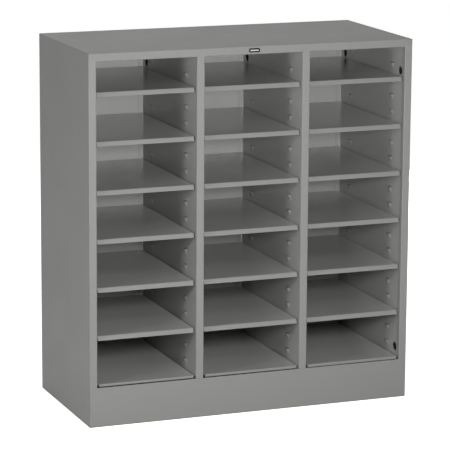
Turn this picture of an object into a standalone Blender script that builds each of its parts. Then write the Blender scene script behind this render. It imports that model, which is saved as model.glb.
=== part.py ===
"""Open-front compartment cabinet in folded sheet steel, standing on a closed kick base.

Three columns of seven compartments lie between double-walled uprights. Each upright carries two
columns of pressed-out lugs, and every shelf rests with its side flanges on four of them, so it
can be pulled out and put back at another height. Metres, +Z up, front towards -Y, and the origin
on the floor under the middle of the cabinet.
"""

import math

import bmesh
import bpy
from mathutils import Matrix, Vector

MM = 0.001

# Sheet and fits
SHEET = 0.9 * MM  # thickness of every folded panel
FIT = 0.3 * MM  # gap between two panels that are welded or that rest on each other
SNAP = 0.001 * MM  # points closer than this are the same point

# Compartments
COLUMN_NAMES = ("left", "centre", "right")
DIVIDER_NAMES = ("left_divider", "right_divider")
ROWS = 7
OPENING = 259 * MM  # clear width between two uprights
STILE = 20 * MM  # front face of an outer upright
DIVIDER = 20 * MM  # front face of a divider between two columns
FLOOR_RISE = 7.5 * MM  # lowest decks above the kick plate
TOP_ROW = 96.2 * MM  # from the highest shelf's deck to the top of the cabinet

# Cabinet shell
DEPTH = 400 * MM
KICK = 100 * MM  # height of the kick plate
RAIL = 20 * MM  # height of the top rail
RAIL_RETURN = 10 * MM  # flange turned in under the top rail
STILE_RETURN = 14 * MM  # flange turned in along an outer upright, over the liner's edge
REAR_FLANGE = 15 * MM  # flange in the rear plane around the back panel
WALL_FLANGE = 14 * MM  # rear flange of a liner or divider, in front of the back panel
BASE_FLANGE = 15 * MM  # flange turned in at the floor
TOP_FLANGE = 12 * MM  # flange turned in under the top sheet
HEM = 10 * MM  # depth of the hem along the top of the kick plate
CORNER_RELIEF = 4 * MM  # a flange stops this far from a corner of its sheet

# Shelves and floor pans
SHELF_PLAY = 2.5 * MM  # gap beside a shelf, at each end
REAR_PLAY = 2 * MM  # gap behind a shelf
SHELF_FLANGE = 12.7 * MM  # height of a deck over the lugs that carry it
LIP = 12.7 * MM  # front lip, measured along its slope
LIP_LEAN = math.radians(25)  # the lip's foot comes forward
LIP_RETURN = 7 * MM
LIP_SETBACK = 13 * MM  # deck's front edge behind the cabinet's front
FLOOR_SETBACK = 2.5 * MM  # floor pan's front edge behind the kick plate's hem

# Lugs and holes in the uprights
LUG_PITCH = 40.35 * MM
LUGS_PER_ROW = 3  # lug pitches from one shelf to the next
LUG_WIDTH = 20 * MM
LUG_HEIGHT = 15 * MM
LUG_REACH = 7 * MM
LUG_SIDES = 8  # facets of the whole cone that a lug is half of
LUG_FRONT = 77 * MM  # front column of lugs behind the cabinet's front
LUG_REAR = 69 * MM  # rear column of lugs ahead of the cabinet's rear
HOLE = 22 * MM  # diameter of the access holes
HOLE_SIDES = 24
HOLE_EDGE = 30 * MM  # front holes behind the cabinet's front
HOLE_BACK = 28 * MM  # rear holes ahead of the cabinet's rear
HOLE_DROP = 83 * MM  # upper holes below the cabinet's top
HOLE_RISE = 20 * MM  # lower holes above the floor pans

# Blank badge on the top rail
BADGE_WIDTH = 29 * MM
BADGE_HEIGHT = 10 * MM
BADGE_THICK = 1.2 * MM
BADGE_CORNER = 2.5 * MM

# Sizes that follow
WIDTH = len(COLUMN_NAMES) * OPENING + len(DIVIDER_NAMES) * DIVIDER + 2 * STILE
ROW_PITCH = LUGS_PER_ROW * LUG_PITCH
FLOOR_TOP = KICK + FLOOR_RISE
HEIGHT = FLOOR_TOP + (ROWS - 1) * ROW_PITCH + TOP_ROW
FRONT = -DEPTH / 2
REAR = DEPTH / 2
LAP = SHEET + FIT  # from one panel's face to the next panel's face where they lie together
HEM_THICK = 2 * SHEET + FIT
UNDER_TOP = HEIGHT - LAP  # highest point of what meets the top sheet from below
FACE_LOW = KICK + FIT  # uprights' front faces stand on the kick plate
FACE_HIGH = HEIGHT - RAIL - FIT  # and end under the top rail
NOTCH = FRONT + RAIL_RETURN + FIT  # walls start here behind the rail and the kick plate
BACK_FACE = REAR - LAP  # rear face of the back panel
WALL_REAR = BACK_FACE - SHEET - LAP  # front face of the walls' rear flanges
SHELF_WIDTH = OPENING - 2 * SHELF_PLAY
LOWEST_LUG = FLOOR_TOP - SHELF_FLANGE - FIT  # top of the lugs under the floor pans
LUG_ROWS = (ROWS - 1) * LUGS_PER_ROW + 2  # the last row stands above the highest shelf

# Colours of the enamel and of the badge, as sRGB hex
SHELL_GREY = "8E8E8C"
WALL_GREY = "888886"
SHELF_GREY = "8B8B89"
BADGE_PALE = "D8D8D4"


def linear_colour(hex_colour):
    """An sRGB hex colour as a linear RGBA value."""
    channels = [int(hex_colour[i : i + 2], 16) / 255 for i in (0, 2, 4)]
    return [c / 12.92 if c <= 0.04045 else ((c + 0.055) / 1.055) ** 2.4 for c in channels] + [1.0]


def make_material(name, hex_colour, roughness, metallic):
    material = bpy.data.materials.new(name)
    material.use_nodes = True
    shader = material.node_tree.nodes["Principled BSDF"]
    shader.inputs["Base Color"].default_value = linear_colour(hex_colour)
    shader.inputs["Roughness"].default_value = roughness
    shader.inputs["Metallic"].default_value = metallic
    material.diffuse_color = linear_colour(hex_colour)
    return material


def flat_sheet(corner, along, across):
    """A new mesh with one rectangle, from a corner and the two sides that meet there."""
    corner, along, across = Vector(corner), Vector(along), Vector(across)
    place = Matrix.Identity(4)
    middle = corner + (along + across) / 2
    for column, vector in enumerate((along, across, along.cross(across).normalized(), middle)):
        for row in range(3):
            place[row][column] = vector[row]
    sheet = bmesh.new()
    bmesh.ops.create_grid(sheet, x_segments=1, y_segments=1, size=0.5, matrix=place)
    return sheet


def lies_between(point, start, end):
    """Whether a point is on the straight line from start to end."""
    return abs((point - start).length + (end - point).length - (end - start).length) < SNAP


def border_along(sheet, start, end):
    """The border edges of a sheet from start to end, cut at those two points where needed."""
    for point in (start, end):
        if any((vert.co - point).length < SNAP for vert in sheet.verts):
            continue
        edge = next(e for e in sheet.edges if e.is_boundary and lies_between(point, *(v.co for v in e.verts)))
        share = (point - edge.verts[0].co).length / edge.calc_length()
        bmesh.utils.edge_split(edge, edge.verts[0], share)
    return [e for e in sheet.edges if e.is_boundary and all(lies_between(v.co, start, end) for v in e.verts)]


def fold(sheet, start, end, move):
    """Grow a flange, or more of the same face, from the border between two points."""
    edges = border_along(sheet, Vector(start), Vector(end))
    grown = bmesh.ops.extrude_edge_only(sheet, edges=edges)["geom"]
    bmesh.ops.translate(sheet, vec=Vector(move), verts=[g for g in grown if isinstance(g, bmesh.types.BMVert)])


def face_outwards(sheet, outward):
    """Turn every face to the side that the first face's outward direction gives."""
    bmesh.ops.recalc_face_normals(sheet, faces=sheet.faces[:])
    sheet.faces.ensure_lookup_table()
    if sheet.faces[0].normal.dot(Vector(outward)) < 0:
        bmesh.ops.reverse_faces(sheet, faces=sheet.faces[:])


def mesh_data(name, shape):
    data = bpy.data.meshes.new(name)
    shape.to_mesh(data)
    shape.free()
    return data


def add_piece(name, data, material, parent, location=(0, 0, 0)):
    """One sub-part in the cabinet's collection."""
    piece = bpy.data.objects.new(name, data)
    bpy.data.collections["compartment_cabinet"].objects.link(piece)
    piece.parent = parent
    piece.location = location
    if not data.materials:
        data.materials.append(material)
    return piece


def thicken(piece):
    """Give a folded surface its sheet thickness, behind the drawn faces."""
    solid = piece.modifiers.new("sheet", "SOLIDIFY")
    solid.thickness = SHEET
    solid.offset = -1
    solid.use_even_offset = True
    solid.use_quality_normals = True


def combine(piece, shape, operation, name):
    """Cut a shape out of a piece or join it on. The shape is drawn in the piece's own frame."""
    tool = bpy.data.objects.new(f"{piece.name}_{name}", mesh_data(f"{piece.name}_{name}", shape))
    bpy.data.collections["cutters"].objects.link(tool)
    tool.parent = piece
    tool.hide_render = True
    tool.display_type = "WIRE"
    boolean = piece.modifiers.new(name, "BOOLEAN")
    boolean.operation = operation
    boolean.solver = "EXACT"
    boolean.object = tool


def lug_rows(wall_faces):
    """Half-cone lugs, point down, on walls given as (x of the face, direction it faces)."""
    lugs = bmesh.new()
    for face_x, facing in wall_faces:
        wall = bmesh.new()
        middle_x = face_x - facing * SHEET / 2
        reach = LUG_REACH + SHEET / 2
        flatten = Matrix.Diagonal((reach / (LUG_WIDTH / 2), 1, 1, 1))
        for row in range(LUG_ROWS):
            middle_z = LOWEST_LUG + row * LUG_PITCH - LUG_HEIGHT / 2
            for y in (FRONT + LUG_FRONT, REAR - LUG_REAR):
                bmesh.ops.create_cone(
                    wall,
                    cap_ends=True,
                    segments=LUG_SIDES,
                    radius1=0,
                    radius2=LUG_WIDTH / 2,
                    depth=LUG_HEIGHT,
                    matrix=Matrix.Translation((middle_x, y, middle_z)) @ flatten,
                )
        geometry = wall.verts[:] + wall.edges[:] + wall.faces[:]
        bmesh.ops.bisect_plane(
            wall,
            geom=geometry,
            dist=SNAP / 10,
            plane_co=(middle_x, 0, 0),
            plane_no=(facing, 0, 0),
            clear_inner=True,
        )
        bmesh.ops.holes_fill(wall, edges=[e for e in wall.edges if e.is_boundary], sides=0)
        bmesh.ops.recalc_face_normals(wall, faces=wall.faces[:])
        half = mesh_data("wall_lugs", wall)
        lugs.from_mesh(half)
        bpy.data.meshes.remove(half)
    return lugs


def hole_pins(middle_x, length, places):
    """Cylinders along X that cut the access holes at places given as (y, z)."""
    pins = bmesh.new()
    for y, z in places:
        bmesh.ops.create_cone(
            pins,
            cap_ends=True,
            segments=HOLE_SIDES,
            radius1=HOLE / 2,
            radius2=HOLE / 2,
            depth=length,
            matrix=Matrix.Translation((middle_x, y, z)) @ Matrix.Rotation(math.radians(90), 4, "Y"),
        )
    return pins


def top_panel():
    """Top sheet with the front rail, its return and a rear flange."""
    half = WIDTH / 2
    inner = half - LAP
    sheet = flat_sheet((-half, FRONT, HEIGHT), (WIDTH, 0, 0), (0, DEPTH, 0))
    fold(sheet, (-half, FRONT, HEIGHT), (half, FRONT, HEIGHT), (0, 0, -RAIL))
    fold(sheet, (-inner, FRONT, HEIGHT - RAIL), (inner, FRONT, HEIGHT - RAIL), (0, RAIL_RETURN, 0))
    fold(sheet, (-half, REAR, HEIGHT), (half, REAR, HEIGHT), (0, 0, -REAR_FLANGE))
    face_outwards(sheet, (0, 0, 1))
    return sheet


def side_panel(side):
    """Outer skin of one side with its front stile; side is -1 on the left and 1 on the right."""
    skin = side * WIDTH / 2
    inward = -side
    front, rear = FRONT + LAP, BACK_FACE
    stile_x = skin + inward * STILE
    sheet = flat_sheet((skin, front, 0), (0, rear - front, 0), (0, 0, UNDER_TOP))
    fold(sheet, (skin, front, FACE_LOW), (skin, front, FACE_HIGH), (0, -LAP, 0))
    fold(sheet, (skin, FRONT, FACE_LOW), (skin, FRONT, FACE_HIGH), (inward * STILE, 0, 0))
    fold(sheet, (stile_x, FRONT, FACE_LOW), (stile_x, FRONT, FACE_HIGH), (0, STILE_RETURN, 0))
    flange_top = HEIGHT - REAR_FLANGE - FIT
    fold(sheet, (skin, rear, 0), (skin, rear, flange_top), (0, LAP, 0))
    fold(sheet, (skin, REAR, 0), (skin, REAR, flange_top), (inward * REAR_FLANGE, 0, 0))
    flange_front = FRONT + BASE_FLANGE + CORNER_RELIEF
    flange_rear = rear - SHEET - CORNER_RELIEF
    fold(sheet, (skin, flange_front, 0), (skin, flange_rear, 0), (inward * BASE_FLANGE, 0, 0))
    fold(sheet, (skin, flange_front, UNDER_TOP), (skin, flange_rear, UNDER_TOP), (inward * TOP_FLANGE, 0, 0))
    face_outwards(sheet, (side, 0, 0))
    return sheet


def liner_face(side):
    """X of the face that a side's liner shows to its compartments, behind the stile's return."""
    return side * (WIDTH / 2 - STILE + LAP)


def liner(side):
    """Inner wall of one side, with its rear flange turned in to the back panel."""
    face = liner_face(side)
    sheet = flat_sheet((face, NOTCH, LAP), (0, WALL_REAR - NOTCH, 0), (0, 0, UNDER_TOP - LAP))
    fold(sheet, (face, NOTCH, FACE_LOW), (face, NOTCH, FACE_HIGH), (0, FRONT + LAP - NOTCH, 0))
    fold(sheet, (face, WALL_REAR, LAP), (face, WALL_REAR, UNDER_TOP), (-side * WALL_FLANGE, 0, 0))
    face_outwards(sheet, (-side, 0, 0))
    return sheet


def divider():
    """Hat section between two columns: front face, two walls and two rear flanges."""
    half = DIVIDER / 2
    sheet = flat_sheet((-half, FRONT, FACE_LOW), (DIVIDER, 0, 0), (0, 0, FACE_HIGH - FACE_LOW))
    for x, out in ((-half, -1), (half, 1)):
        fold(sheet, (x, FRONT, FACE_LOW), (x, FRONT, FACE_HIGH), (0, NOTCH - FRONT, 0))
        fold(sheet, (x, NOTCH, FACE_LOW), (x, NOTCH, FACE_HIGH), (0, WALL_REAR - NOTCH, 0))
        fold(sheet, (x, NOTCH, FACE_HIGH), (x, WALL_REAR, FACE_HIGH), (0, 0, UNDER_TOP - FACE_HIGH))
        fold(sheet, (x, NOTCH, FACE_LOW), (x, WALL_REAR, FACE_LOW), (0, 0, LAP - FACE_LOW))
        fold(sheet, (x, WALL_REAR, LAP), (x, WALL_REAR, UNDER_TOP), (out * WALL_FLANGE, 0, 0))
    face_outwards(sheet, (0, -1, 0))
    return sheet


def back_panel():
    """Flat back inside the rear flanges, with a foot flange between the sides' flanges."""
    half = WIDTH / 2 - LAP
    foot = half - BASE_FLANGE - CORNER_RELIEF
    sheet = flat_sheet((-half, BACK_FACE, 0), (2 * half, 0, 0), (0, 0, UNDER_TOP))
    fold(sheet, (-foot, BACK_FACE, 0), (foot, BACK_FACE, 0), (0, -BASE_FLANGE, 0))
    face_outwards(sheet, (0, 1, 0))
    return sheet


def kick_plate():
    """Full-width plate under the compartments, hemmed at the top and flanged at the floor."""
    half = WIDTH / 2
    inner = half - LAP - CORNER_RELIEF
    hem_rear = FRONT + HEM_THICK
    sheet = flat_sheet((-half, FRONT, 0), (WIDTH, 0, 0), (0, 0, KICK))
    fold(sheet, (-inner, FRONT, 0), (inner, FRONT, 0), (0, BASE_FLANGE, 0))
    fold(sheet, (-inner, FRONT, KICK), (inner, FRONT, KICK), (0, HEM_THICK, 0))
    fold(sheet, (-inner, hem_rear, KICK), (inner, hem_rear, KICK), (0, 0, -HEM))
    face_outwards(sheet, (0, -1, 0))
    return sheet


def deck_pan(front, lean):
    """Shelf or floor pan, drawn from the middle of its deck's front edge at depth front."""
    half = SHELF_WIDTH / 2
    depth = WALL_REAR - REAR_PLAY - front
    foot = Vector((0, -LIP * math.sin(lean), -LIP * math.cos(lean)))
    side_start = max(0, foot.y + LIP_RETURN) + CORNER_RELIEF
    side_end = depth - CORNER_RELIEF
    sheet = flat_sheet((-half, 0, 0), (SHELF_WIDTH, 0, 0), (0, depth, 0))
    fold(sheet, (-half, 0, 0), (half, 0, 0), foot)
    fold(sheet, foot + Vector((-half, 0, 0)), foot + Vector((half, 0, 0)), (0, LIP_RETURN, 0))
    for x in (-half, half):
        fold(sheet, (x, side_start, 0), (x, side_end, 0), (0, 0, -SHELF_FLANGE))
    fold(sheet, (-half, depth, 0), (half, depth, 0), (0, 0, -SHELF_FLANGE))
    face_outwards(sheet, (0, 0, 1))
    return sheet


def badge_plate():
    """Blank plate with rounded corners, drawn about its own middle."""
    plate = bmesh.new()
    size = Matrix.Diagonal((BADGE_WIDTH, BADGE_THICK, BADGE_HEIGHT, 1))
    bmesh.ops.create_cube(plate, size=1, matrix=size)
    corners = [e for e in plate.edges if abs((e.verts[0].co - e.verts[1].co).y) > BADGE_THICK / 2]
    bmesh.ops.bevel(plate, geom=corners, offset=BADGE_CORNER, segments=4, profile=0.5, affect="EDGES")
    return plate


def column_middle(column):
    """X of the middle of a column, counted from the left."""
    return (column - (len(COLUMN_NAMES) - 1) / 2) * (OPENING + DIVIDER)


def build_shell(cabinet, enamel, wall_enamel):
    """Every fixed sheet around the compartments."""
    hole_front, hole_rear = FRONT + HOLE_EDGE, REAR - HOLE_BACK
    hole_high, hole_low = HEIGHT - HOLE_DROP, FLOOR_TOP + HOLE_RISE
    side_holes = [(y, z) for y in (hole_front, hole_rear) for z in (hole_high, hole_low)]
    for name, sheet in (("top_panel", top_panel()), ("back_panel", back_panel()), ("kick_plate", kick_plate())):
        thicken(add_piece(name, mesh_data(name, sheet), enamel, cabinet))
    for word, side in (("left", -1), ("right", 1)):
        name = f"{word}_side_panel"
        thicken(add_piece(name, mesh_data(name, side_panel(side)), enamel, cabinet))
        name = f"{word}_liner"
        wall = add_piece(name, mesh_data(name, liner(side)), wall_enamel, cabinet)
        thicken(wall)
        combine(wall, hole_pins(liner_face(side), STILE, side_holes), "DIFFERENCE", "holes")
        combine(wall, lug_rows([(liner_face(side), -side)]), "UNION", "lugs")
    divider_data = mesh_data("divider", divider())
    for number, name in enumerate(DIVIDER_NAMES):
        middle = (column_middle(number) + column_middle(number + 1)) / 2
        wall = add_piece(name, divider_data, wall_enamel, cabinet, (middle, 0, 0))
        thicken(wall)
        combine(wall, hole_pins(0, 2 * DIVIDER, [(hole_rear, hole_high)]), "DIFFERENCE", "holes")
        combine(wall, lug_rows([(-DIVIDER / 2, -1), (DIVIDER / 2, 1)]), "UNION", "lugs")


def build_decks(cabinet, floor_enamel, shelf_enamel):
    """A fixed floor pan and the loose shelves of each column, counted from the top."""
    floor_front = FRONT + HEM_THICK + FLOOR_SETBACK
    shelf_front = FRONT + LIP_SETBACK
    floor_data = mesh_data("floor_pan", deck_pan(floor_front, 0))
    shelf_data = mesh_data("shelf", deck_pan(shelf_front, LIP_LEAN))
    for column, word in enumerate(COLUMN_NAMES):
        x = column_middle(column)
        thicken(add_piece(f"{word}_floor", floor_data, floor_enamel, cabinet, (x, floor_front, FLOOR_TOP)))
        for shelf in range(1, ROWS):
            height = FLOOR_TOP + (ROWS - shelf) * ROW_PITCH
            thicken(add_piece(f"{word}_shelf_{shelf}", shelf_data, shelf_enamel, cabinet, (x, shelf_front, height)))


def main():
    for old in list(bpy.data.objects):
        bpy.data.objects.remove(old)
    for name in ("compartment_cabinet", "cutters"):
        bpy.context.scene.collection.children.link(bpy.data.collections.new(name))
    cabinet = bpy.data.objects.new("cabinet_origin", None)
    bpy.data.collections["compartment_cabinet"].objects.link(cabinet)
    shell_enamel = make_material("grey_enamel_shell", SHELL_GREY, 0.38, 0.0)
    wall_enamel = make_material("grey_enamel_walls", WALL_GREY, 0.38, 0.0)
    floor_enamel = make_material("grey_enamel_floors", SHELF_GREY, 0.32, 0.0)
    shelf_enamel = make_material("grey_enamel_shelves", SHELF_GREY, 0.32, 0.0)
    badge_metal = make_material("blank_badge", BADGE_PALE, 0.45, 0.0)
    build_shell(cabinet, shell_enamel, wall_enamel)
    build_decks(cabinet, floor_enamel, shelf_enamel)
    badge_place = (0, FRONT - FIT - BADGE_THICK / 2, HEIGHT - RAIL / 2)
    add_piece("badge_plate", mesh_data("badge_plate", badge_plate()), badge_metal, cabinet, badge_place)


main()
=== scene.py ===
"""Looks of an open-front compartment cabinet: folded sheet steel in grey baked enamel, on a white floor.

Every sheet is drawn as a surface, folded at its edges, given round bends and then its thickness. The outer
skin is drawn in one and parted along its weld seams, so that the flush-ground joints close without a step.
"""

import math

import bmesh
import bpy
from mathutils import Matrix, Quaternion, Vector


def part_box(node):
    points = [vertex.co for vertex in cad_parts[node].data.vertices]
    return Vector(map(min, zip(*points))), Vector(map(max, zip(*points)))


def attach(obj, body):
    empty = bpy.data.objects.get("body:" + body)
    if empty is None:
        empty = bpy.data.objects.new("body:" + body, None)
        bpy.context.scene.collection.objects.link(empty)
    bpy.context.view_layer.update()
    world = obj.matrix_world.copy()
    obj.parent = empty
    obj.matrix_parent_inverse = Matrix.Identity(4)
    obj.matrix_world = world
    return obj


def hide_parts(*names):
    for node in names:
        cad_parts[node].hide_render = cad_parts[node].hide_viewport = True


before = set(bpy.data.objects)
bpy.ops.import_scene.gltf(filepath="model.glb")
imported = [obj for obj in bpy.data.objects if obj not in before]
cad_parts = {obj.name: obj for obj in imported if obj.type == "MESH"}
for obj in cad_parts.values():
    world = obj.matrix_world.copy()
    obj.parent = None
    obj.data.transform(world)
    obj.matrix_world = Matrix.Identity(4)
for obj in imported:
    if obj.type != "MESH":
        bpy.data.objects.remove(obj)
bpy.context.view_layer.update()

MM = 0.001
SNAP = 0.01 * MM  # points closer than this are the same point

# Sizes from the frame
COLUMNS = ("left", "centre", "right")
SHELVES = 6  # loose shelves in a column
SKIN_LOW, SKIN_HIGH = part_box("top_panel")
LEFT, FRONT = SKIN_LOW.x, SKIN_LOW.y
RIGHT, REAR, HEIGHT = SKIN_HIGH
RAIL_FOOT = SKIN_LOW.z  # lower edge of the top rail
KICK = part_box("kick_plate")[1].z
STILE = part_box("left_side_panel")[1].x - LEFT
BACK_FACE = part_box("back_panel")[1].y
WALL_LOW, WALL_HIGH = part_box("left_divider")
ROW_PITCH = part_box("left_shelf_1")[1].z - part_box("left_shelf_2")[1].z

# Sheet and folds
SHEET = 0.9 * MM
FIT = 0.3 * MM  # gap between sheets that lie together
LAP = SHEET + FIT
BEND = 2.4 * MM  # outer radius of a fold
BEND_STEPS = 4
FOLD_ANGLE = math.radians(40)  # a sharper edge is a fold
MOSTLY = 0.5  # a face whose normal has more than this along a direction looks that way
FRONT_TILT = 0.3  # least forward part of the normal of a face that looks forward
FLANGE = 15 * MM  # rear and foot flanges of the outer skin
RAIL_RETURN = 10 * MM
STILE_RETURN = 14 * MM
HEM = 10 * MM
HEM_THICK = 2 * SHEET + FIT
RELIEF = 4 * MM  # a flange stops this far from a corner of its sheet
LARGE_FACES = 100  # weight that lets only the large faces set the shading along a bend

# Uprights
DIVIDER = 20 * MM  # front face of a divider
WALL_FLANGE = 14 * MM
WALL_REAR = WALL_HIGH.y - SHEET  # front face of the walls' rear flanges
NOTCH = FRONT + RAIL_RETURN + FIT  # walls start here behind the rail and the kick plate
LUGS_PER_ROW = 3
LUG_PITCH = ROW_PITCH / LUGS_PER_ROW
LUG_ROWS = (SHELVES * LUGS_PER_ROW) + 2
LOWEST_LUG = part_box("left_floor")[0].z - FIT
LUG_WIDTH = 26 * MM
LUG_HEIGHT = 15 * MM
LUG_REACH = 3.5 * MM
LUG_FADE = 1.5  # power by which a lug runs out softly into its wall
LUG_STEPS = (12, 9)  # faces across and down a lug
LUG_MIDDLES = (FRONT + 77 * MM, REAR - 69 * MM)
WINDOW = 1.2 * MM  # height of the arched opening over a lug
WINDOW_STEPS = 4  # faces from a lug's middle to each end of its opening
HEADROOM = 8 * MM  # from a lug's slit to the top of its stretch of wall
HOLE = 22 * MM
HOLE_STEPS = 48
HOLE_FRONT = FRONT + 30 * MM
HOLE_REAR = REAR - 28 * MM
HOLE_HIGH = HEIGHT - 83 * MM
HOLE_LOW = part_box("left_floor")[1].z + 20 * MM

# Decks
SHELF_LIP = 12.7 * MM  # front lip of a shelf along its slope
FLOOR_LIPS = {  # front lips of the floor pans, over a slot that closes from left to right
    "left": 6.7 * MM,
    "centre": 7 * MM,
    "right": 7.8 * MM,
}
LIP_LEAN = math.radians(25)
LIP_RETURN = 7 * MM
SHELF_RELIEF = 1.5 * MM  # a shelf's lip stops this far short of the deck's ends
FLOOR_RELIEF = 3 * MM  # and a floor pan's lip this far
DECK_BEND = 1.5 * MM

# Badge
BADGE_RIM = 3.2 * MM
BADGE_SUNK = 0.4 * MM
BADGE_CORNER = 4 * MM
BADGE_CORNER_STEPS = 6
BADGE_EDGE = 0.2 * MM  # rounding of the rim
BADGE_EDGE_STEPS = 2
MOTTLE_SIZE = 2 * MM  # coarser than a real etch, which is too fine to show
MOTTLE_SHADES = (0.9, 1.05)  # darkest and lightest share of the colour
BADGE_COATS = {  # colour, roughness and IOR
    "badge_rim": ("0C0C0C", 0.7, 1.15),
    "badge_face": ("B8B8B4", 0.35, 1.45),
}

# Enamel
CLOUD_SIZE = 90 * MM  # clouds where the passes of the spray gun overlap
CLOUD_SHADES = (0.98, 1.02)  # darkest and lightest share of the colour
PEEL_SIZE = 4 * MM  # coarser than real, to show at all
PEEL_DEPTH = 0.3 * MM
PEEL_STRENGTH = 0.06
SPRAY_PATCH = (120 * MM, 120 * MM, 120 * MM)  # patches of gloss left by the spray
SLIDE_MARK = (25 * MM, 300 * MM, 25 * MM)  # long from front to back, the way papers slide
NOISE_SPAN = (0.3, 0.7)  # where most values of a noise lie
GLOSS_SPREAD = (-0.02, 0.03)  # change of roughness from the glossiest patch to the dullest
# The walls, back and decks are the shell's enamel drawn lighter: painted light that makes up for the shade
# inside the compartments.
COATS = {  # colour, roughness, IOR and size of the gloss patches
    "baked_enamel_shell": ("858583", 0.45, 1.2, SPRAY_PATCH),
    "baked_enamel_top": ("858583", 0.45, 1.1, SPRAY_PATCH),  # duller, since things are set down on it
    "baked_enamel_walls_painted_light": ("999997", 0.24, 1.45, SPRAY_PATCH),
    "baked_enamel_back_painted_light": ("9B9B99", 0.30, 1.45, SPRAY_PATCH),
    "baked_enamel_decks_painted_light": ("A4A4A2", 0.16, 1.8, SLIDE_MARK),  # polished by sliding papers; drawn lighter than the shell as painted light
    # Near black on the hidden inner faces: painted shade, so that the holes into the double walls show
    # dark.
    "dark_painted_shade_inside": ("161615", 0.60, 1.45, SPRAY_PATCH),
}

# Photograph's frame and camera
FRAME_PIXELS = 450
FOCAL_PIXELS = 2532
SENSOR = 36  # width of the camera's sensor in millimetres
CAMERA_PLACE = Vector((-2.3055, -5.9198, 1.7767))
CAMERA_AIM = Vector((0.0013, -0.0054, 0.4434))
CAMERA_ROLL = math.radians(0.37)
CLIP_END = 100  # the camera sees this far

# Studio
WHITE = "FFFFFF"
FLOOR_HALF = 40.0  # from the middle of the floor to its edges
FLOOR_GREY = "D2D2D2"
FLOOR_GLOW = 0.96  # share of white that the floor shows by itself
WORLD_LEVEL = 0.06  # even light from all round
BACKDROP = 1.0  # how pale the surroundings show over the horizon
LAMPS = {  # place, size and watts of each lamp
    "key_lamp": ((-0.33, -2.3, 1.05), 0.4, 42),
    "high_lamp": ((-0.2, -4.0, 3.2), 0.8, 22),
    "side_lamp": ((-2.6, -1.0, 1.0), 0.5, 21),
    "rear_lamp": ((1.9, 2.6, 0.6), 0.5, 55),
    "top_lamp": ((-0.3, 0.3, 3.0), 0.8, 24),
}


def linear(hex_colour):
    """An sRGB hex colour as a linear RGBA value."""
    channels = [int(hex_colour[i : i + 2], 16) / 255 for i in (0, 2, 4)]
    return [c / 12.92 if c <= 0.04045 else ((c + 0.055) / 1.055) ** 2.4 for c in channels] + [1.0]


def shades(hex_colour, shares):
    """A colour at each of the given shares of its brightness."""
    base = linear(hex_colour)
    return [[c * share for c in base[:3]] + [1.0] for share in shares]


def add_node(tree, kind, inputs, **settings):
    """A shader node with its settings, and its inputs as values or as other nodes' outputs."""
    made = tree.nodes.new(f"ShaderNode{kind}")
    for name, value in settings.items():
        setattr(made, name, value)
    for name, value in inputs.items():
        if isinstance(value, bpy.types.NodeSocket):
            tree.links.new(value, made.inputs[name])
        else:
            made.inputs[name].default_value = value
    return made


def new_material(name):
    """An empty material and its node tree."""
    material = bpy.data.materials.new(name)
    material.use_nodes = True
    material.node_tree.nodes.clear()
    return material, material.node_tree


def baked_enamel(name, hex_colour, roughness, ior, grain):
    """Stoved alkyd enamel sprayed on steel: semi-gloss, with a faint orange peel and a cloudy coat.

    The peel of sprayed enamel is 1 to 2 mm across, too fine for this distance, so it is drawn at 4 mm.
    The gloss varies in patches of the size given by grain: round ones where the spray overlapped, and
    ones drawn out from front to back on a deck, where papers slide in and out.
    """
    material, tree = new_material(name)
    place = add_node(tree, "TexCoord", {}).outputs["Object"]
    cloud = add_node(tree, "TexNoise", {"Vector": place, "Scale": 1 / CLOUD_SIZE, "Detail": 3.0})
    peel = add_node(tree, "TexNoise", {"Vector": place, "Scale": 1 / PEEL_SIZE, "Detail": 1.0})
    patch = add_node(tree, "Mapping", {"Vector": place, "Scale": [1 / size for size in grain]})
    worn = add_node(tree, "TexNoise", {"Vector": patch.outputs["Vector"], "Scale": 1.0, "Detail": 2.0})
    dim, bright = shades(hex_colour, CLOUD_SHADES)
    colour = add_node(tree, "MixRGB", {"Fac": cloud.outputs["Fac"], "Color1": dim, "Color2": bright})
    gloss = add_node(
        tree,
        "MapRange",
        {
            "Value": worn.outputs["Fac"],
            "From Min": NOISE_SPAN[0],
            "From Max": NOISE_SPAN[1],
            "To Min": roughness + GLOSS_SPREAD[0],
            "To Max": roughness + GLOSS_SPREAD[1],
        },
    )
    relief = {"Height": peel.outputs["Fac"], "Strength": PEEL_STRENGTH, "Distance": PEEL_DEPTH}
    bump = add_node(tree, "Bump", relief)
    shader = add_node(
        tree,
        "BsdfPrincipled",
        {
            "Base Color": colour.outputs["Color"],
            "Roughness": gloss.outputs["Result"],
            "Normal": bump.outputs["Normal"],
            "IOR": ior,
        },
    )
    add_node(tree, "OutputMaterial", {"Surface": shader.outputs["BSDF"]})
    return material


def badge_finish(name, hex_colour, roughness, ior):
    """Small stamped plate: its face is satin and very slightly mottled by the etch."""
    material, tree = new_material(name)
    place = add_node(tree, "TexCoord", {}).outputs["Object"]
    mottle = add_node(tree, "TexNoise", {"Vector": place, "Scale": 1 / MOTTLE_SIZE, "Detail": 2.0})
    dim, bright = shades(hex_colour, MOTTLE_SHADES)
    colour = add_node(tree, "MixRGB", {"Fac": mottle.outputs["Fac"], "Color1": dim, "Color2": bright})
    shader = add_node(
        tree,
        "BsdfPrincipled",
        {"Base Color": colour.outputs["Color"], "Roughness": roughness, "IOR": ior},
    )
    add_node(tree, "OutputMaterial", {"Surface": shader.outputs["BSDF"]})
    return material


def edges_in(shape, low, high):
    """The edges of a shape that lie wholly in the box between two corners."""
    return [
        edge
        for edge in shape.edges
        if all(low[i] - SNAP <= vert.co[i] <= high[i] + SNAP for vert in edge.verts for i in range(3))
    ]


def cut(shape, place, normal, faces):
    """New edges where a plane crosses the given faces of a shape."""
    geometry = list(dict.fromkeys(part for face in faces for part in (face, *face.edges, *face.verts)))
    bmesh.ops.bisect_plane(shape, geom=geometry, dist=SNAP, plane_co=place, plane_no=normal)
    shape.normal_update()


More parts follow.
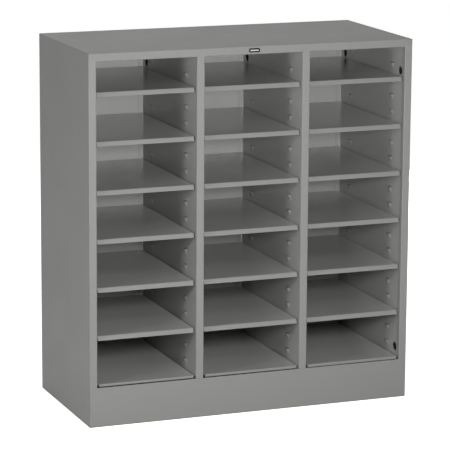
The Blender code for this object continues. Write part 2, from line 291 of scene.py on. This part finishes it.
def fold(shape, edges, move):
    """Grow a flange from border edges and give back its own border."""
    grown = bmesh.ops.extrude_edge_only(shape, edges=edges)["geom"]
    points = [part for part in grown if isinstance(part, bmesh.types.BMVert)]
    bmesh.ops.translate(shape, vec=Vector(move), verts=points)
    shape.normal_update()
    edges = [part for part in grown if isinstance(part, bmesh.types.BMEdge)]
    return [edge for edge in edges if all(vert in points for vert in edge.verts)]


def round_folds(shape, radius):
    """Turn every sharp fold of a surface into a round bend."""
    folds = [edge for edge in shape.edges if edge.is_manifold and edge.calc_face_angle() > FOLD_ANGLE]
    bmesh.ops.bevel(
        shape,
        geom=folds,
        offset=radius,
        segments=BEND_STEPS,
        profile=0.5,
        affect="EDGES",
        clamp_overlap=True,
        material=-1,
    )


def keep(shape, wanted):
    """A copy of a shape with only the faces that are wanted."""
    part = shape.copy()
    bmesh.ops.delete(part, geom=[face for face in part.faces if not wanted(face)], context="FACES")
    return part


def face_outwards(shape, outward):
    """Turn all faces alike, so that the largest one along the outward direction looks that way."""
    outward = Vector(outward)
    bmesh.ops.recalc_face_normals(shape, faces=shape.faces[:])
    largest = max(shape.faces, key=lambda face: abs(face.normal.dot(outward)) * face.calc_area())
    if largest.normal.dot(outward) < 0:
        bmesh.ops.reverse_faces(shape, faces=shape.faces[:])


def mesh_data(name, shape):
    """A mesh made from a finished shape."""
    data = bpy.data.meshes.new(name)
    shape.to_mesh(data)
    shape.free()
    return data


def settle(piece):
    """Make a piece's modifiers part of its mesh."""
    drawn = piece.evaluated_get(bpy.context.evaluated_depsgraph_get())
    solid = bpy.data.meshes.new_from_object(drawn)
    piece.modifiers.clear()
    piece.data = solid


def thicken(name, shape, outward, inside_slot=0):
    """A new object that gives a folded surface its sheet thickness, behind the drawn faces.

    The hidden side takes the material slot that is given for it.
    """
    face_outwards(shape, outward)
    piece = bpy.data.objects.new(name, mesh_data(name, shape))
    bpy.context.scene.collection.objects.link(piece)
    sheet = piece.modifiers.new("sheet", "SOLIDIFY")
    sheet.thickness = SHEET
    sheet.offset = -1
    sheet.use_even_offset = True
    sheet.use_quality_normals = True
    sheet.material_offset = inside_slot
    settle(piece)
    return piece


def pierce(piece, pins):
    """Cut pins out of a piece."""
    tool = bpy.data.objects.new("pins", mesh_data("pins", pins))
    bpy.context.scene.collection.objects.link(tool)
    boolean = piece.modifiers.new("holes", "BOOLEAN")
    boolean.operation = "DIFFERENCE"
    boolean.solver = "EXACT"
    boolean.object = tool
    settle(piece)
    bpy.data.objects.remove(tool)


def paint_front(piece, depth):
    """Give the faces that look forward, down to a depth behind the piece's front, the second material."""
    # The front faces keep the shell's enamel; the rest of the piece takes a lighter copy of it, which is
    # painted light.
    front = min(vert.co.y for vert in piece.data.vertices)
    for face in piece.data.polygons:
        if face.normal.y < -FRONT_TILT and face.center.y < front + depth:
            face.material_index = 1


def install(piece, node, body, slot, *materials):
    """Finish a piece's shading and set it in the frame in place of its node."""
    for material in materials:
        piece.data.materials.append(material)
    piece.data.shade_smooth()
    piece.data.set_sharp_from_angle(angle=FOLD_ANGLE)
    even = piece.modifiers.new("even_shading", "WEIGHTED_NORMAL")
    even.keep_sharp = True
    even.weight = LARGE_FACES
    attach(piece, body)
    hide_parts(node)


def column_sides(word):
    """X of the two front edges of a column's openings."""
    low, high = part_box(f"{word}_floor")
    opening = (RIGHT - LEFT - 2 * STILE - (len(COLUMNS) - 1) * DIVIDER) / len(COLUMNS)
    middle = (low.x + high.x) / 2
    return middle - opening / 2, middle + opening / 2


def outer_skin():
    """Top, sides, front frame, kick plate and rear flanges in one, with round box edges."""
    skin = bmesh.new()
    size = Matrix.Diagonal((RIGHT - LEFT, REAR - FRONT, HEIGHT, 1))
    middle = Vector(((LEFT + RIGHT) / 2, (FRONT + REAR) / 2, HEIGHT / 2))
    bmesh.ops.create_cube(skin, size=1, matrix=Matrix.Translation(middle) @ size)
    open_faces = [face for face in skin.faces if face.normal.y > MOSTLY or face.normal.z < -MOSTLY]
    bmesh.ops.inset_individual(skin, faces=open_faces, thickness=FLANGE, use_even_offset=True)
    bmesh.ops.delete(skin, geom=open_faces, context="FACES")
    low_rear = [
        face
        for face in skin.faces
        if face.calc_center_median().y > REAR - FLANGE and face.calc_center_median().z < FLANGE
    ]
    bmesh.ops.delete(skin, geom=low_rear, context="FACES")
    for z in (KICK, RAIL_FOOT):
        cut(skin, (0, 0, z), (0, 0, 1), [face for face in skin.faces if face.normal.y < -MOSTLY])
    for word in COLUMNS:
        for x in column_sides(word):
            cut(skin, (x, 0, 0), (1, 0, 0), [face for face in skin.faces if face.normal.y < -MOSTLY])
    round_folds(skin, BEND)
    return skin


def is_opening(face):
    """Whether a face of the outer skin closes the compartments' front."""
    middle = face.calc_center_median()
    return middle.y < FRONT + SNAP and KICK < middle.z < RAIL_FOOT and abs(middle.x) < RIGHT - STILE


def panel_of(face):
    """The panel that a face of the outer skin belongs to, by the weld seams around it."""
    middle = face.calc_center_median()
    at_front = middle.y < FRONT + BEND
    inside_foot = middle.y < FRONT + FLANGE and middle.z < BEND and abs(middle.x) < RIGHT - FLANGE
    if (at_front and middle.z < KICK) or inside_foot:
        return "kick_plate"
    rail = middle.y < FRONT + RAIL_RETURN and middle.z > RAIL_FOOT - SNAP and abs(middle.x) < RIGHT - STILE
    rear_flange = middle.z > HEIGHT - FLANGE and abs(middle.x) < RIGHT - FLANGE
    if middle.z > HEIGHT - BEND or rail or rear_flange or (at_front and middle.z > RAIL_FOOT):
        return "top_panel"
    return "left_side_panel" if middle.x < 0 else "right_side_panel"


def shell_panels():
    """The outer skin's panels by node, each with its own returns."""
    skin = outer_skin()
    kick = keep(skin, lambda face: panel_of(face) == "kick_plate")
    top_edge = edges_in(kick, (LEFT + STILE, FRONT, KICK), (RIGHT - STILE, FRONT, KICK))
    hem = fold(kick, top_edge, (0, HEM_THICK, 0))
    fold(kick, hem, (0, 0, -HEM))
    round_folds(kick, HEM_THICK / 2 - SNAP)
    rest = keep(skin, lambda face: panel_of(face) != "kick_plate" and not is_opening(face))
    skin.free()
    rail_edges = []
    for word in COLUMNS:
        near, far = column_sides(word)
        rail_edges += edges_in(rest, (near, FRONT, RAIL_FOOT), (far, FRONT, RAIL_FOOT))
    stile_edges = []
    for x in (LEFT + STILE, RIGHT - STILE):
        stile_edges += edges_in(rest, (x, FRONT, KICK), (x, FRONT, RAIL_FOOT))
    borders = fold(rest, rail_edges + stile_edges, (0, RAIL_RETURN, 0))
    upright = [edge for edge in borders if abs(edge.verts[0].co.z - edge.verts[1].co.z) > RAIL_RETURN]
    fold(rest, upright, (0, STILE_RETURN - RAIL_RETURN, 0))
    round_folds(rest, BEND)
    panels = {"kick_plate": kick}
    for name in ("top_panel", "left_side_panel", "right_side_panel"):
        panels[name] = keep(rest, lambda face, name=name: panel_of(face) == name)
    rest.free()
    return panels


def press_lug(wall, face_x, facing, middle_y):
    """Press a half-round out of a wall below height 0 and leave an arched opening above it."""
    half = LUG_WIDTH / 2
    slit = edges_in(wall, (face_x, middle_y - half, 0), (face_x, middle_y + half, 0))
    bmesh.ops.split_edges(wall, edges=slit)
    arch = half * WINDOW_STEPS / (LUG_STEPS[0] / 2)
    opening = []
    for face in wall.faces:
        middle = face.calc_center_median()
        in_arch = abs(middle.y - middle_y) < arch and 0 < middle.z < WINDOW
        if abs(middle.x - face_x) < SNAP and in_arch:
            opening.append(face)
    bmesh.ops.delete(wall, geom=opening, context="FACES")
    for vert in wall.verts:
        if abs(vert.co.x - face_x) > SNAP:
            continue
        across = (vert.co.y - middle_y) / half
        spread = math.hypot(across, vert.co.z / LUG_HEIGHT)
        above = any(face.calc_center_median().z > 0 for face in vert.link_faces)
        if spread < 1 and not above:
            vert.co.x += facing * LUG_REACH * (1 - spread**2) ** LUG_FADE
        if abs(vert.co.z - WINDOW) < SNAP and abs(across) < arch / half + SNAP:
            vert.co.z = WINDOW * math.sqrt(1 - across**2)


def is_seam(vert):
    """Whether a point of a wall lies where one stretch of lugs meets the next."""
    stretches = (vert.co.z - HEADROOM) / LUG_PITCH
    return abs(stretches - round(stretches)) * LUG_PITCH < SNAP


def lugged_wall(path, lug_faces):
    """A sheet along a plan path, with lugs on the faces given as (x, direction it faces)."""
    wall = bmesh.new()
    points = [wall.verts.new((x, y, HEADROOM - LUG_PITCH)) for x, y in path]
    for start, end in zip(points, points[1:]):
        wall.edges.new((start, end))
    bmesh.ops.bevel(
        wall,
        geom=points[1:-1],
        offset=BEND,
        segments=BEND_STEPS,
        profile=0.5,
        affect="VERTICES",
        material=-1,
    )
    fold(wall, wall.edges[:], (0, 0, LUG_PITCH))
    across, down = LUG_STEPS
    for middle_y in LUG_MIDDLES:
        for step in range(across + 1):
            y = middle_y + LUG_WIDTH * (step / across - 0.5)
            cut(wall, (0, y, 0), (0, 1, 0), wall.faces[:])
    for z in [WINDOW] + [-LUG_HEIGHT * step / down for step in range(down + 1)]:
        cut(wall, (0, 0, z), (0, 0, 1), wall.faces[:])
    for face_x, facing in lug_faces:
        for middle_y in LUG_MIDDLES:
            press_lug(wall, face_x, facing, middle_y)
    one_pitch = wall.verts[:] + wall.edges[:] + wall.faces[:]
    for row in range(1, LUG_ROWS):
        copied = bmesh.ops.duplicate(wall, geom=one_pitch)["geom"]
        verts = [part for part in copied if isinstance(part, bmesh.types.BMVert)]
        bmesh.ops.translate(wall, vec=(0, 0, row * LUG_PITCH), verts=verts)
    bmesh.ops.remove_doubles(wall, verts=[v for v in wall.verts if is_seam(v)], dist=SNAP)
    bmesh.ops.translate(wall, vec=(0, 0, LOWEST_LUG), verts=wall.verts[:])
    bottom = min(v.co.z for v in wall.verts)
    top = max(v.co.z for v in wall.verts)
    for z, end in ((bottom, WALL_LOW.z), (top, WALL_HIGH.z)):
        ring = [e for e in wall.edges if e.is_boundary and all(abs(v.co.z - z) < SNAP for v in e.verts)]
        fold(wall, ring, (0, 0, end - z))
    cut(wall, (0, NOTCH, 0), (0, 1, 0), wall.faces[:])
    for z in (KICK + FIT, RAIL_FOOT):
        cut(wall, (0, 0, z), (0, 0, 1), wall.faces[:])
    notches = [
        face
        for face in wall.faces
        if face.calc_center_median().y < NOTCH and not KICK < face.calc_center_median().z < RAIL_FOOT
    ]
    bmesh.ops.delete(wall, geom=notches, context="FACES")
    return wall


def hole_pins(x, length, places):
    """Round pins along X at places given as (y, z)."""
    pins = bmesh.new()
    for y, z in places:
        bmesh.ops.create_cone(
            pins,
            cap_ends=True,
            segments=HOLE_STEPS,
            radius1=HOLE / 2,
            radius2=HOLE / 2,
            depth=length,
            matrix=Matrix.Translation((x, y, z)) @ Matrix.Rotation(math.radians(90), 4, "Y"),
        )
    return pins


def divider(name, material, front_material, painted_shade_material):
    """Hat section between two columns, with lugs on both walls."""
    low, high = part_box(name)
    middle = (low.x + high.x) / 2
    near, far = middle - DIVIDER / 2, middle + DIVIDER / 2
    path = [
        (near - WALL_FLANGE, WALL_REAR),
        (near, WALL_REAR),
        (near, FRONT),
        (far, FRONT),
        (far, WALL_REAR),
        (far + WALL_FLANGE, WALL_REAR),
    ]
    # The hat's hidden inner faces take the near-black painted shade, which shows through its hole.
    piece = thicken(f"{name}_sheet", lugged_wall(path, ((near, -1), (far, 1))), (0, -1, 0), inside_slot=2)
    pierce(piece, hole_pins(middle, 2 * DIVIDER, [(HOLE_REAR, HOLE_HIGH)]))
    paint_front(piece, BEND)
    install(piece, name, "cabinet", "wall_enamel", material, front_material, painted_shade_material)


def liner(name, side, material, painted_shade_material):
    """Inner wall of a double-walled side; side is -1 on the left and 1 on the right."""
    face = side * (RIGHT - STILE + LAP)
    path = [(face, FRONT + LAP), (face, WALL_REAR), (face - side * WALL_FLANGE, WALL_REAR)]
    # The liner's hidden back takes the near-black painted shade, which shows through its holes.
    piece = thicken(f"{name}_sheet", lugged_wall(path, ((face, -side),)), (-side, 0, 0), inside_slot=1)
    places = [(y, z) for y in (HOLE_FRONT, HOLE_REAR) for z in (HOLE_HIGH, HOLE_LOW)]
    pierce(piece, hole_pins(face, STILE, places))
    install(piece, name, "cabinet", "wall_enamel", material, painted_shade_material)


def deck_pan(node, lip, lean, relief):
    """Shelf or floor pan with a front lip, its return, side flanges and a rear flange.

    The lip leans forward by an angle and stops short of the deck's ends by the relief.
    """
    low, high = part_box(node)
    front = low.y + lip * math.sin(lean)
    deck, foot = high.z, low.z
    start = max(front, low.y + LIP_RETURN) + RELIEF
    end = high.y - RELIEF
    pan = bmesh.new()
    size = Matrix.Diagonal((high.x - low.x, high.y - front, 1, 1))
    middle = Vector(((low.x + high.x) / 2, (front + high.y) / 2, deck))
    place = Matrix.Translation(middle) @ size
    bmesh.ops.create_grid(pan, x_segments=1, y_segments=1, size=0.5, matrix=place)
    for y in (start, end):
        cut(pan, (0, y, 0), (0, 1, 0), pan.faces[:])
    lip_low, lip_high = low.x + relief, high.x - relief
    for x in (lip_low, lip_high):
        cut(pan, (x, 0, 0), (1, 0, 0), pan.faces[:])
    slope = (0, -lip * math.sin(lean), -lip * math.cos(lean))
    lip_foot = fold(pan, edges_in(pan, (lip_low, front, deck), (lip_high, front, deck)), slope)
    fold(pan, lip_foot, (0, LIP_RETURN, 0))
    for x in (low.x, high.x):
        fold(pan, edges_in(pan, (x, start, deck), (x, end, deck)), (0, 0, foot - deck))
    fold(pan, edges_in(pan, (low.x, high.y, deck), (high.x, high.y, deck)), (0, 0, foot - deck))
    round_folds(pan, DECK_BEND)
    piece = thicken(f"{node}_pan", pan, (0, 0, 1))
    paint_front(piece, lip)
    return piece


def back_panel(material, painted_shade_material):
    """Flat back inside the rear flanges, with a foot flange, near black behind the double walls: painted
    shade for the deep hollows.
    """
    low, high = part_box("back_panel")
    panel = bmesh.new()
    place = Matrix.Translation(((low.x + high.x) / 2, BACK_FACE, (low.z + high.z) / 2))
    size = Matrix.Diagonal((high.x - low.x, 1, high.z - low.z, 1))
    upright = Matrix.Rotation(math.radians(90), 4, "X")
    bmesh.ops.create_grid(panel, x_segments=1, y_segments=1, size=0.5, matrix=place @ size @ upright)
    foot_x = high.x - FLANGE - RELIEF
    compartments = [column_sides(word) for word in COLUMNS]
    for x in (-foot_x, foot_x, *(side for sides in compartments for side in sides)):
        cut(panel, (x, 0, 0), (1, 0, 0), panel.faces[:])
    fold(panel, edges_in(panel, (-foot_x, BACK_FACE, low.z), (foot_x, BACK_FACE, low.z)), (0, -FLANGE, 0))
    round_folds(panel, BEND)
    piece = thicken("back_panel_sheet", panel, (0, 1, 0))
    # Where the back closes the hollows of the double walls, its front face takes the near-black painted
    # shade.
    for face in piece.data.polygons:
        in_hollow = not any(near < face.center.x < far for near, far in compartments)
        face.material_index = int(face.normal.y < -MOSTLY and in_hollow)
    install(piece, "back_panel", "cabinet", "shell_enamel", material, painted_shade_material)


def badge(rim_material, face_material):
    """Blank plate on the top rail: a dark raised rim around a pale sunk face."""
    low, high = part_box("badge_plate")
    plate = bmesh.new()
    size = Matrix.Diagonal((*(high - low), 1))
    bmesh.ops.create_cube(plate, size=1, matrix=Matrix.Translation((low + high) / 2) @ size)
    corners = [e for e in plate.edges if abs((e.verts[0].co - e.verts[1].co).normalized().y) > MOSTLY]
    bmesh.ops.bevel(
        plate,
        geom=corners,
        offset=BADGE_CORNER,
        segments=BADGE_CORNER_STEPS,
        profile=0.5,
        affect="EDGES",
        material=-1,
    )
    plate.normal_update()
    front = [face for face in plate.faces if face.normal.y < -MOSTLY]
    bmesh.ops.inset_region(plate, faces=front, thickness=BADGE_RIM, use_even_offset=True)
    step = {"thickness": BADGE_SUNK / 2, "depth": -BADGE_SUNK}
    bmesh.ops.inset_region(plate, faces=front, use_even_offset=True, **step)
    for face in front:
        face.material_index = 1
    edge = [e for e in plate.edges if e.calc_face_angle(0) > FOLD_ANGLE and e.verts[0].co.y < low.y + SNAP]
    rim = [e for e in edge if all(abs(v.co.y - low.y) < SNAP for v in e.verts)]
    bmesh.ops.bevel(
        plate,
        geom=rim,
        offset=BADGE_EDGE,
        segments=BADGE_EDGE_STEPS,
        profile=0.5,
        affect="EDGES",
        material=-1,
    )
    piece = bpy.data.objects.new("badge_plate_blank", mesh_data("badge_plate_blank", plate))
    bpy.context.scene.collection.objects.link(piece)
    install(piece, "badge_plate", "cabinet", "badge_face", rim_material, face_material)


def build_cabinet():
    """Every piece of the cabinet."""
    shell, top, wall, back, deck, inside = (baked_enamel(name, *look) for name, look in COATS.items())
    outward = {
        "top_panel": (0, 0, 1),
        "left_side_panel": (-1, 0, 0),
        "right_side_panel": (1, 0, 0),
        "kick_plate": (0, -1, 0),
    }
    for node, panel in shell_panels().items():
        sheet = thicken(f"{node}_sheet", panel, outward[node], inside_slot=1)
        finish = top if node == "top_panel" else shell
        # The side skins' hidden inner faces take the near-black painted shade, which shows through the
        # liners' holes.
        install(sheet, node, "cabinet", "shell_enamel", finish, inside if "side" in node else shell)
    back_panel(back, inside)
    # Dividers, liners and decks take lighter copies of the shell's enamel as painted light; their front
    # faces keep the shell's enamel.
    divider("left_divider", wall, shell, inside)
    divider("right_divider", wall, shell, inside)
    liner("left_liner", -1, wall, inside)
    liner("right_liner", 1, wall, inside)
    for word in COLUMNS:
        node = f"{word}_floor"
        pan = deck_pan(node, FLOOR_LIPS[word], 0, FLOOR_RELIEF)
        install(pan, node, "cabinet", "deck_enamel", deck, shell)
        for number in range(1, SHELVES + 1):
            node = f"{word}_shelf_{number}"
            pan = deck_pan(node, SHELF_LIP, LIP_LEAN, SHELF_RELIEF)
            install(pan, node, node, "deck_enamel", deck, shell)
    rim, face = (badge_finish(name, *look) for name, look in BADGE_COATS.items())
    badge(rim, face)


def shown_rays(tree):
    """1 for the rays that show the surroundings: to the camera, in reflections and through glass."""
    seen = add_node(tree, "LightPath", {}).outputs
    direct = {0: seen["Is Camera Ray"], 1: seen["Is Glossy Ray"]}
    shown = add_node(tree, "Math", direct, operation="MAXIMUM")
    through = {0: shown.outputs["Value"], 1: seen["Is Transmission Ray"]}
    return add_node(tree, "Math", through, operation="MAXIMUM").outputs["Value"]


def white_floor():
    """Pale floor that shows white to the camera and keeps the shadow, with no glow under the cabinet."""
    plane = bmesh.new()
    bmesh.ops.create_grid(plane, x_segments=1, y_segments=1, size=FLOOR_HALF)
    for x in (LEFT, RIGHT):
        cut(plane, (x, 0, 0), (1, 0, 0), plane.faces[:])
    for y in (FRONT, REAR):
        cut(plane, (0, y, 0), (0, 1, 0), plane.faces[:])
    for face in plane.faces:
        middle = face.calc_center_median()
        face.material_index = int(LEFT < middle.x < RIGHT and FRONT < middle.y < REAR)
    floor = bpy.data.objects.new("floor", mesh_data("floor", plane))
    bpy.context.scene.collection.objects.link(floor)
    material, tree = new_material("white_floor")
    matte = add_node(tree, "BsdfDiffuse", {"Color": linear(FLOOR_GREY)})
    level = add_node(tree, "Math", {0: shown_rays(tree), 1: FLOOR_GLOW}, operation="MULTIPLY")
    glow = add_node(tree, "Emission", {"Color": linear(WHITE), "Strength": level.outputs["Value"]})
    both = add_node(tree, "AddShader", {0: matte.outputs["BSDF"], 1: glow.outputs["Emission"]})
    add_node(tree, "OutputMaterial", {"Surface": both.outputs["Shader"]})
    floor.data.materials.append(material)
    covered, tree = new_material("covered_floor")
    matte = add_node(tree, "BsdfDiffuse", {"Color": linear(FLOOR_GREY)})
    add_node(tree, "OutputMaterial", {"Surface": matte.outputs["BSDF"]})
    floor.data.materials.append(covered)


def studio_light():
    """A white studio: an even world and large soft lamps."""
    world = bpy.data.worlds.new("studio")
    bpy.context.scene.world = world
    world.use_nodes = True
    tree = world.node_tree
    tree.nodes.clear()
    even, white = (
        add_node(tree, "Background", {"Color": linear(WHITE), "Strength": level}).outputs["Background"]
        for level in (WORLD_LEVEL, BACKDROP)
    )
    mix = add_node(tree, "MixShader", {0: shown_rays(tree), 1: even, 2: white})
    add_node(tree, "OutputWorld", {"Surface": mix.outputs["Shader"]})
    aim = Vector((0, 0, HEIGHT / 2))
    for name, (place, size, watts) in LAMPS.items():
        data = bpy.data.lights.new(name, "AREA")
        data.shape = "DISK"
        data.size = size
        data.energy = watts
        lamp = bpy.data.objects.new(name, data)
        lamp.location = place
        lamp.rotation_mode = "QUATERNION"
        lamp.rotation_quaternion = (aim - lamp.location).to_track_quat("-Z", "Y")
        bpy.context.scene.collection.objects.link(lamp)


def photograph_camera():
    """Camera at the photograph's place, with its roll."""
    data = bpy.data.cameras.new("camera")
    data.sensor_width = SENSOR
    data.lens = FOCAL_PIXELS * SENSOR / FRAME_PIXELS
    data.clip_end = CLIP_END
    camera = bpy.data.objects.new("camera", data)
    camera.location = CAMERA_PLACE
    camera.rotation_mode = "QUATERNION"
    level = (CAMERA_AIM - CAMERA_PLACE).to_track_quat("-Z", "Y")
    camera.rotation_quaternion = level @ Quaternion((0, 0, 1), CAMERA_ROLL)
    bpy.context.scene.collection.objects.link(camera)
    bpy.context.scene.camera = camera


def main():
    """Camera, cabinet, floor and light."""
    photograph_camera()
    build_cabinet()
    white_floor()
    studio_light()
    bpy.context.scene.view_settings.view_transform = "Standard"


main()
